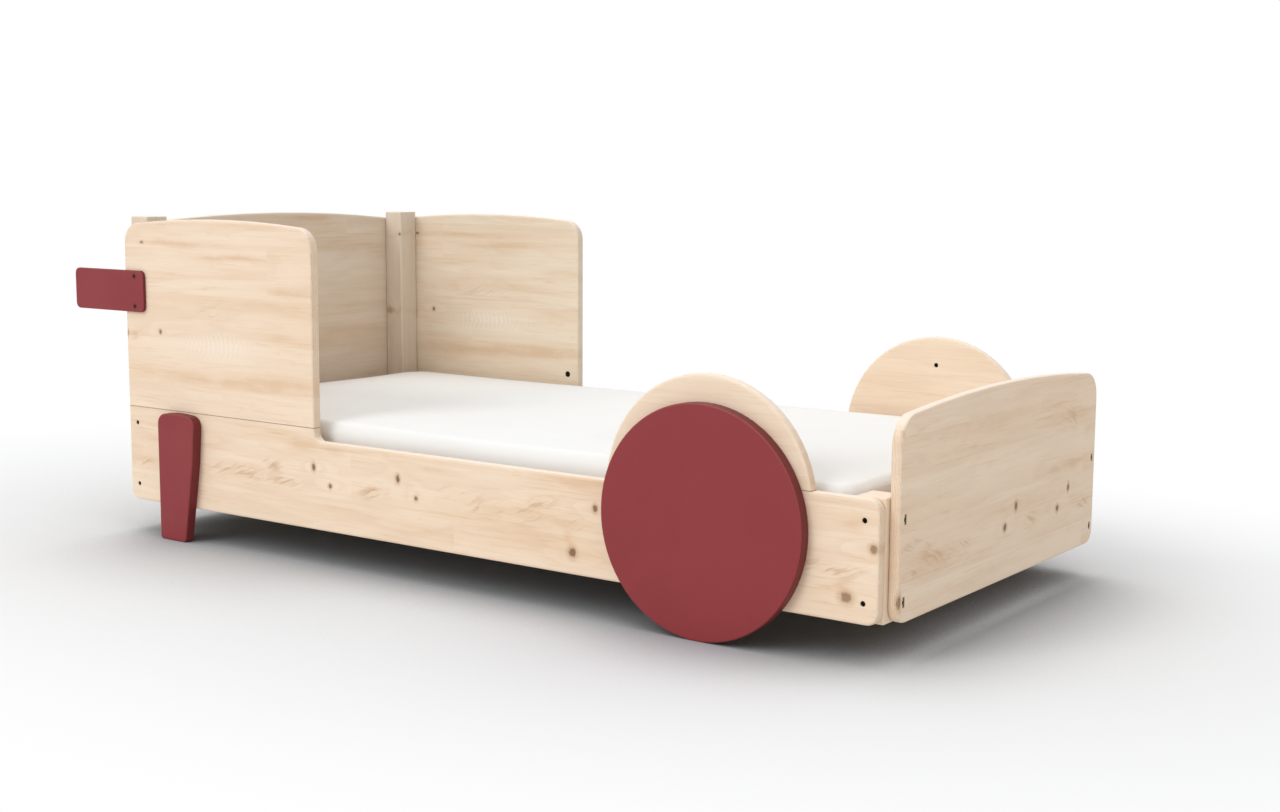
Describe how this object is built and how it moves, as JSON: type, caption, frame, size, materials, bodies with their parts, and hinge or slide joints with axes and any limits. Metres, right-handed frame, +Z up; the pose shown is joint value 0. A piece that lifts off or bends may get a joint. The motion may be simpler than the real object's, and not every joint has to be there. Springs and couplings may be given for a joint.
{
  "type": "kids bed",
  "caption": "Low single bed for a child, shaped like a vehicle: pine boards round a slatted base, high arched head end, red wheel discs and legs, and a white mattress.",
  "frame": {"origin": "middle of the bounding box at floor level", "axes": "+X from the head end to the foot end, the longest way; +Z up; -Y is the side that faces the camera in the picture"},
  "size_m": [2.229, 1.012, 0.758],
  "materials": {
    "pine": "clear satin lacquer on knotty pine",
    "red_painted_wood": "satin dark red paint",
    "dark_steel": "dark browned steel",
    "mattress_cover": "white woven cover over foam"
  },
  "bodies": {
    "bed_frame": {"side_rail_near": "pine", "side_rail_far": "pine", "head_side_panel_near": "pine", "head_side_panel_far": "pine", "mudguard_near": "pine", "mudguard_far": "pine", "head_post_near": "pine", "head_post_far": "pine", "foot_post_near": "pine", "foot_post_far": "pine", "headboard": "pine", "footboard": "pine", "slat_ledger_near": "pine", "slat_ledger_far": "pine", "slat_01": "pine", "slat_02": "pine", "slat_03": "pine", "slat_04": "pine", "slat_05": "pine", "slat_06": "pine", "slat_07": "pine", "slat_08": "pine", "slat_09": "pine", "slat_10": "pine", "slat_11": "pine", "slat_12": "pine", "slat_13": "pine", "slat_14": "pine", "wheel_near": "red_painted_wood", "wheel_far": "red_painted_wood", "leg_near": "red_painted_wood", "leg_far": "red_painted_wood", "red_bar_near": "red_painted_wood", "red_bar_far": "red_painted_wood", "panel_cam_near": "dark_steel", "panel_cam_far": "dark_steel", "rail_bolt_near_head_lower": "dark_steel", "rail_bolt_near_head_upper": "dark_steel", "rail_bolt_near_foot_lower": "dark_steel", "rail_bolt_near_foot_upper": "dark_steel", "rail_bolt_far_head_lower": "dark_steel", "rail_bolt_far_head_upper": "dark_steel", "rail_bolt_far_foot_lower": "dark_steel", "rail_bolt_far_foot_upper": "dark_steel", "headboard_bolt_near_lower": "dark_steel", "headboard_bolt_near_upper": "dark_steel", "headboard_bolt_far_lower": "dark_steel", "headboard_bolt_far_upper": "dark_steel", "footboard_bolt_near_lower": "dark_steel", "footboard_bolt_near_upper": "dark_steel", "footboard_bolt_far_lower": "dark_steel", "footboard_bolt_far_upper": "dark_steel", "wheel_bolt_near": "dark_steel", "wheel_bolt_far": "dark_steel", "bar_screw_near_lower": "dark_steel", "bar_screw_near_upper": "dark_steel", "bar_screw_far_lower": "dark_steel", "bar_screw_far_upper": "dark_steel"},
    "mattress": {"mattress": "mattress_cover"}
  },
  "joints": [
    {"name": "mattress_lift", "type": "slide", "parent": "bed_frame", "child": "mattress", "axis": [0, 0, 1], "range_m": [0, 0.6]}
  ]
}
